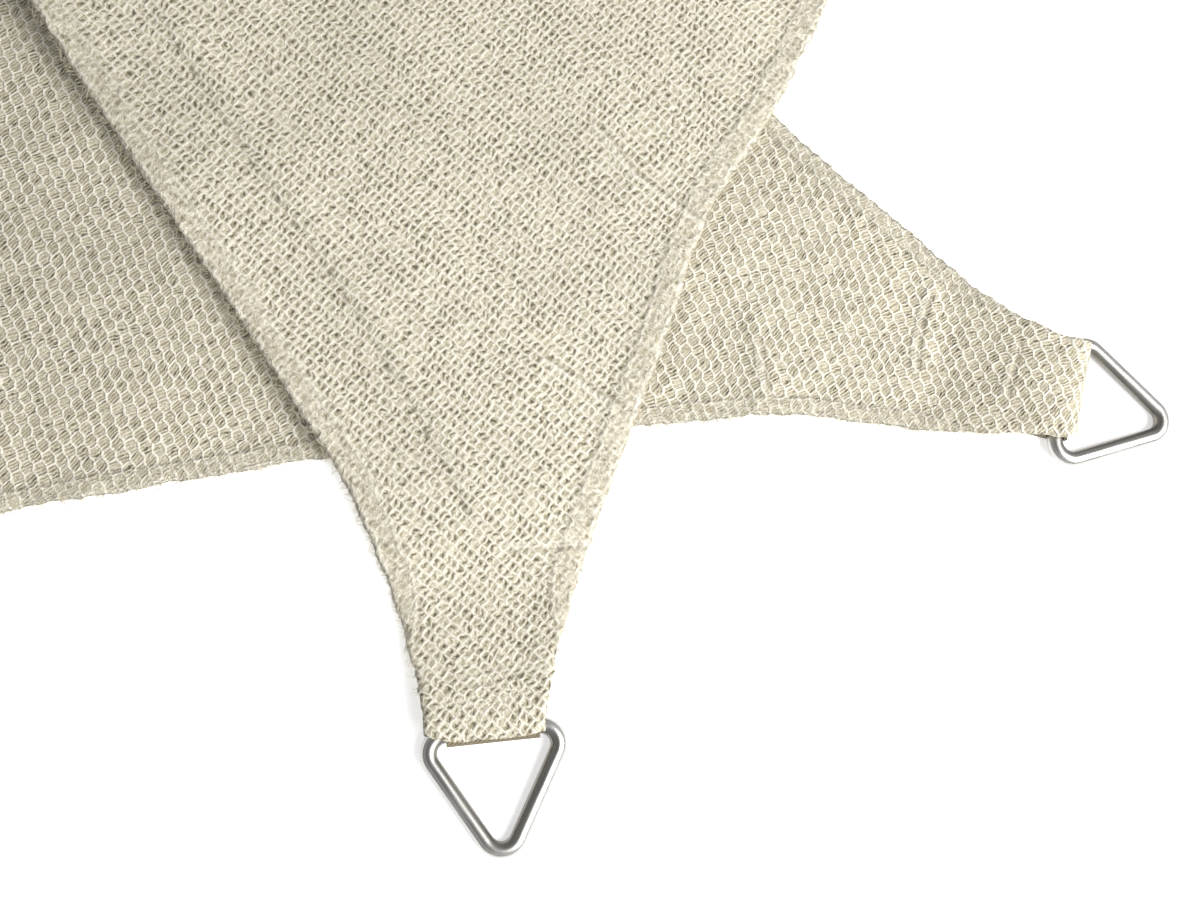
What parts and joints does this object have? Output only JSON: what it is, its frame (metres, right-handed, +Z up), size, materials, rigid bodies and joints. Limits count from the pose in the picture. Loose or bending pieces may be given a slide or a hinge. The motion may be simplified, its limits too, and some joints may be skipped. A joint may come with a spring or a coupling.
{
  "type": "shade sail",
  "caption": "Triangular shade sail of knitted cloth with a steel triangle ring in a tape loop at each corner, folded loosely and laid flat",
  "frame": {"origin": "middle of the folded sail's plan, on the surface that it lies on", "axes": "+Z up from the surface; +X and +Y to the right and to the top of the picture; the two open corners lie at -Y"},
  "size_m": [1.0868, 1.4954, 0.0148],
  "materials": {
    "knitted_cloth": "matte open knit",
    "woven_tape": "matte woven",
    "polished_steel": "polished"
  },
  "bodies": {
    "root": {"sail_cloth": "knitted_cloth", "corner_loop_a": "woven_tape", "corner_loop_b": "woven_tape", "corner_loop_c": "woven_tape", "ring_a": "polished_steel", "ring_b": "polished_steel", "ring_c": "polished_steel"}
  },
  "joints": []
}
